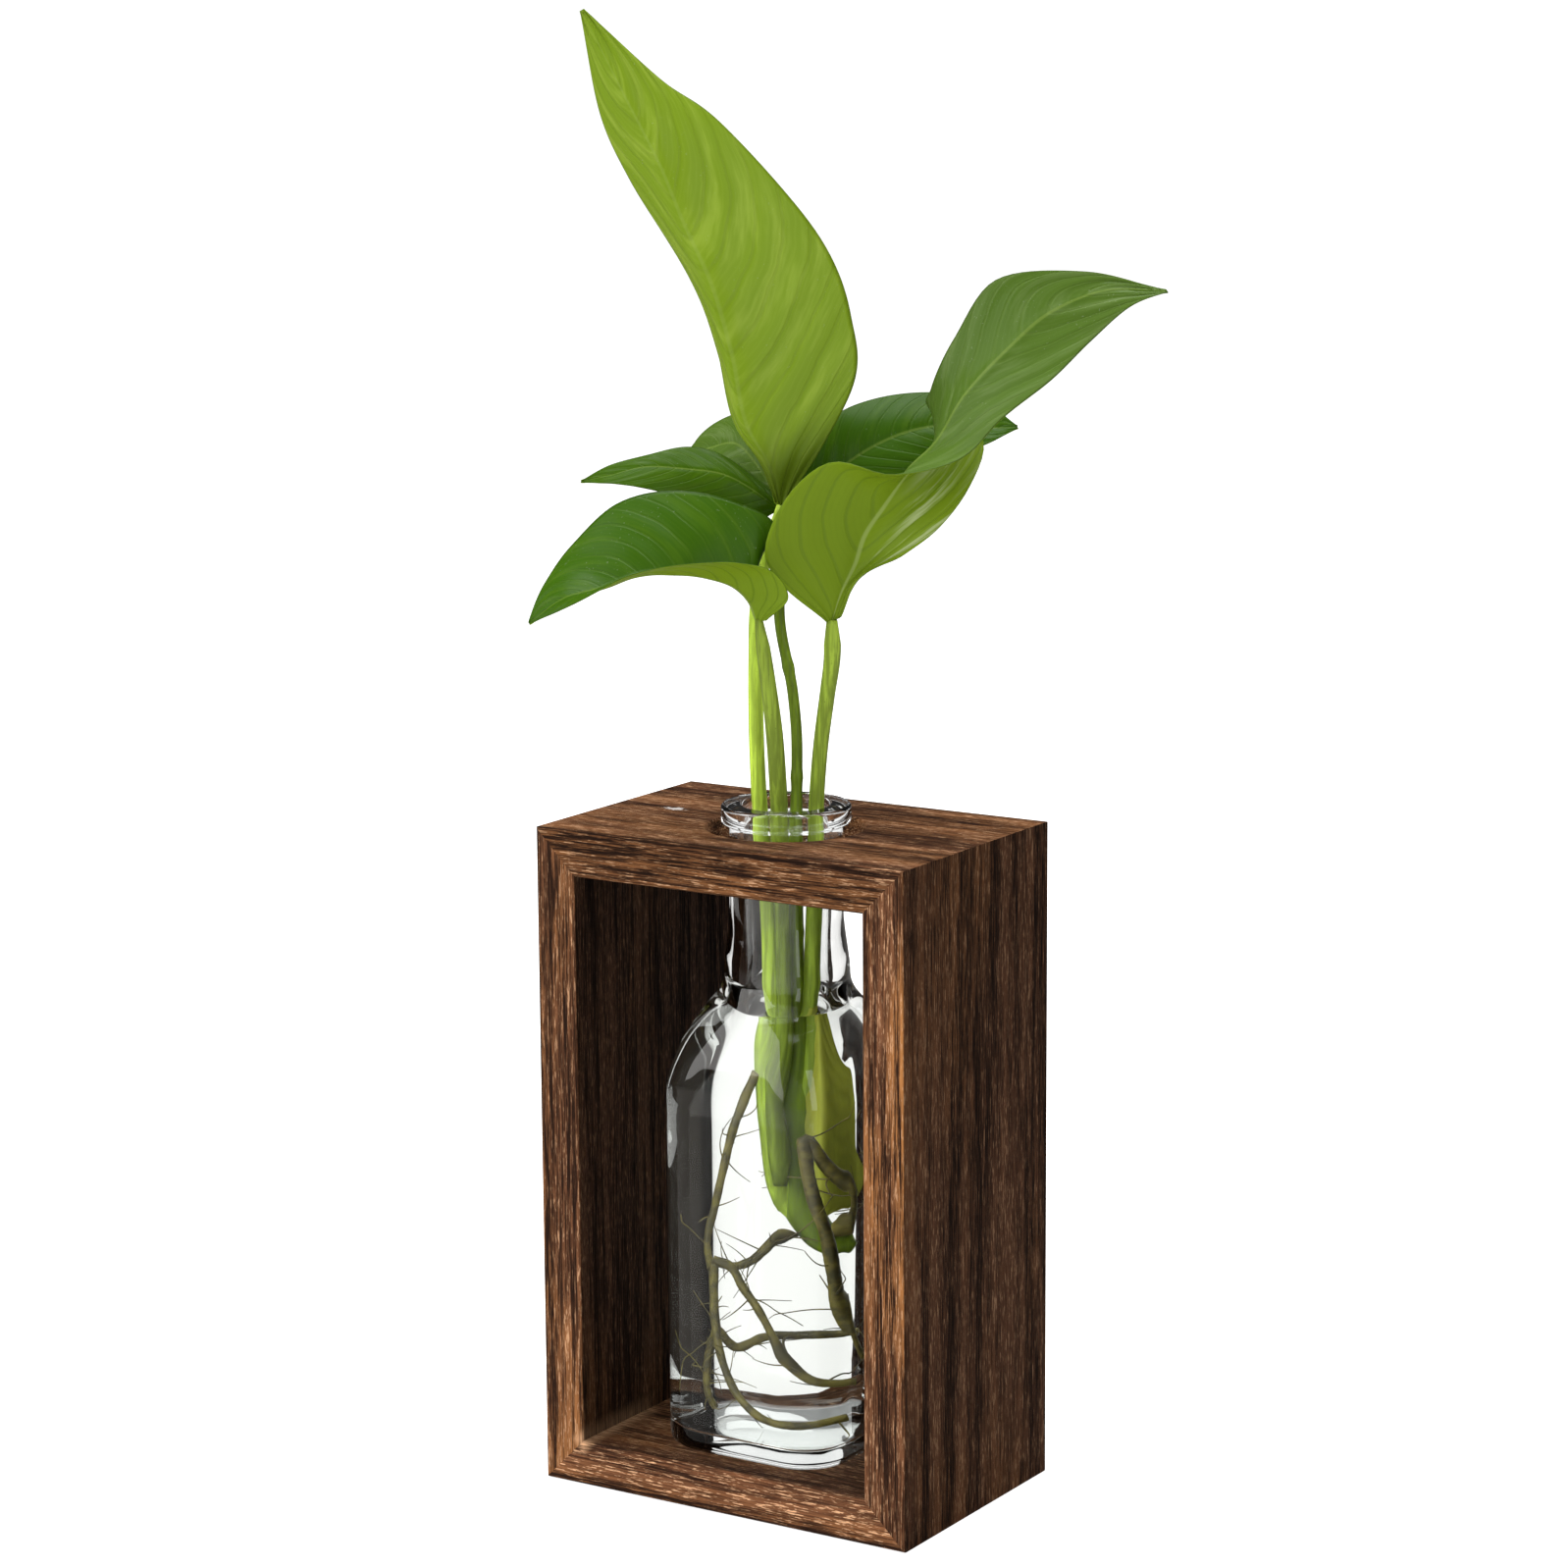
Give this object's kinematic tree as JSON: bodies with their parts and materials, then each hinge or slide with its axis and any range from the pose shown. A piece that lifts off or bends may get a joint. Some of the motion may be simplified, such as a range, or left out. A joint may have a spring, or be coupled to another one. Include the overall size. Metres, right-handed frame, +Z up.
{
  "type": "propagation vase",
  "caption": "Square clear glass bottle with a rolled lip standing in an open mitred wooden box frame, its neck through the top board, holding a rooted leafy cutting.",
  "frame": {"origin": "centre of the base board's underside, on the surface that the vase stands on", "axes": "+Z up, +X to the right seen from the front, -Y towards the front opening"},
  "size_m": [0.1386, 0.1015, 0.3822],
  "materials": {
    "torched_wood": "torched and brushed softwood, satin",
    "clear_glass": "clear, thick, glossy",
    "stem_green": "living stem, semi-gloss",
    "sheath_olive": "wet leaf sheath",
    "stalk_green": "living leaf stalk, semi-gloss",
    "pale_leaf": "waxy leaf, pale",
    "dark_leaf": "waxy leaf, dark",
    "root_brown": "wet root"
  },
  "bodies": {
    "frame": {"top_board": "torched_wood", "base_board": "torched_wood", "left_side_board": "torched_wood", "right_side_board": "torched_wood"},
    "bottle": {"bottle": "clear_glass"},
    "cutting": {"vine_stem": "stem_green", "stem_sheath": "sheath_olive", "tall_leaf_stalk": "stalk_green", "twisted_leaf_stalk": "stalk_green", "rear_right_leaf_stalk": "stalk_green", "front_left_leaf_stalk": "stalk_green", "small_left_leaf_stalk": "stalk_green", "rear_left_leaf_stalk": "stalk_green", "tall_leaf": "pale_leaf", "twisted_leaf": "dark_leaf", "rear_right_leaf": "dark_leaf", "front_left_leaf": "dark_leaf", "small_left_leaf": "dark_leaf", "rear_left_leaf": "dark_leaf", "root_1": "root_brown", "root_2": "root_brown", "root_3": "root_brown", "root_4": "root_brown", "root_5": "root_brown", "root_6": "root_brown", "root_7": "root_brown", "root_8": "root_brown"}
  },
  "joints": [
    {"name": "bottle_lift", "type": "slide", "parent": "frame", "child": "bottle", "axis": [0, 0, 1], "range_m": [0, 0.03]},
    {"name": "cutting_lift", "type": "slide", "parent": "bottle", "child": "cutting", "axis": [0, 0, 1], "range_m": [0, 0.13], "deforming": ["root_1", "root_2", "root_3", "root_4", "root_5", "root_6", "root_7", "root_8"]}
  ]
}
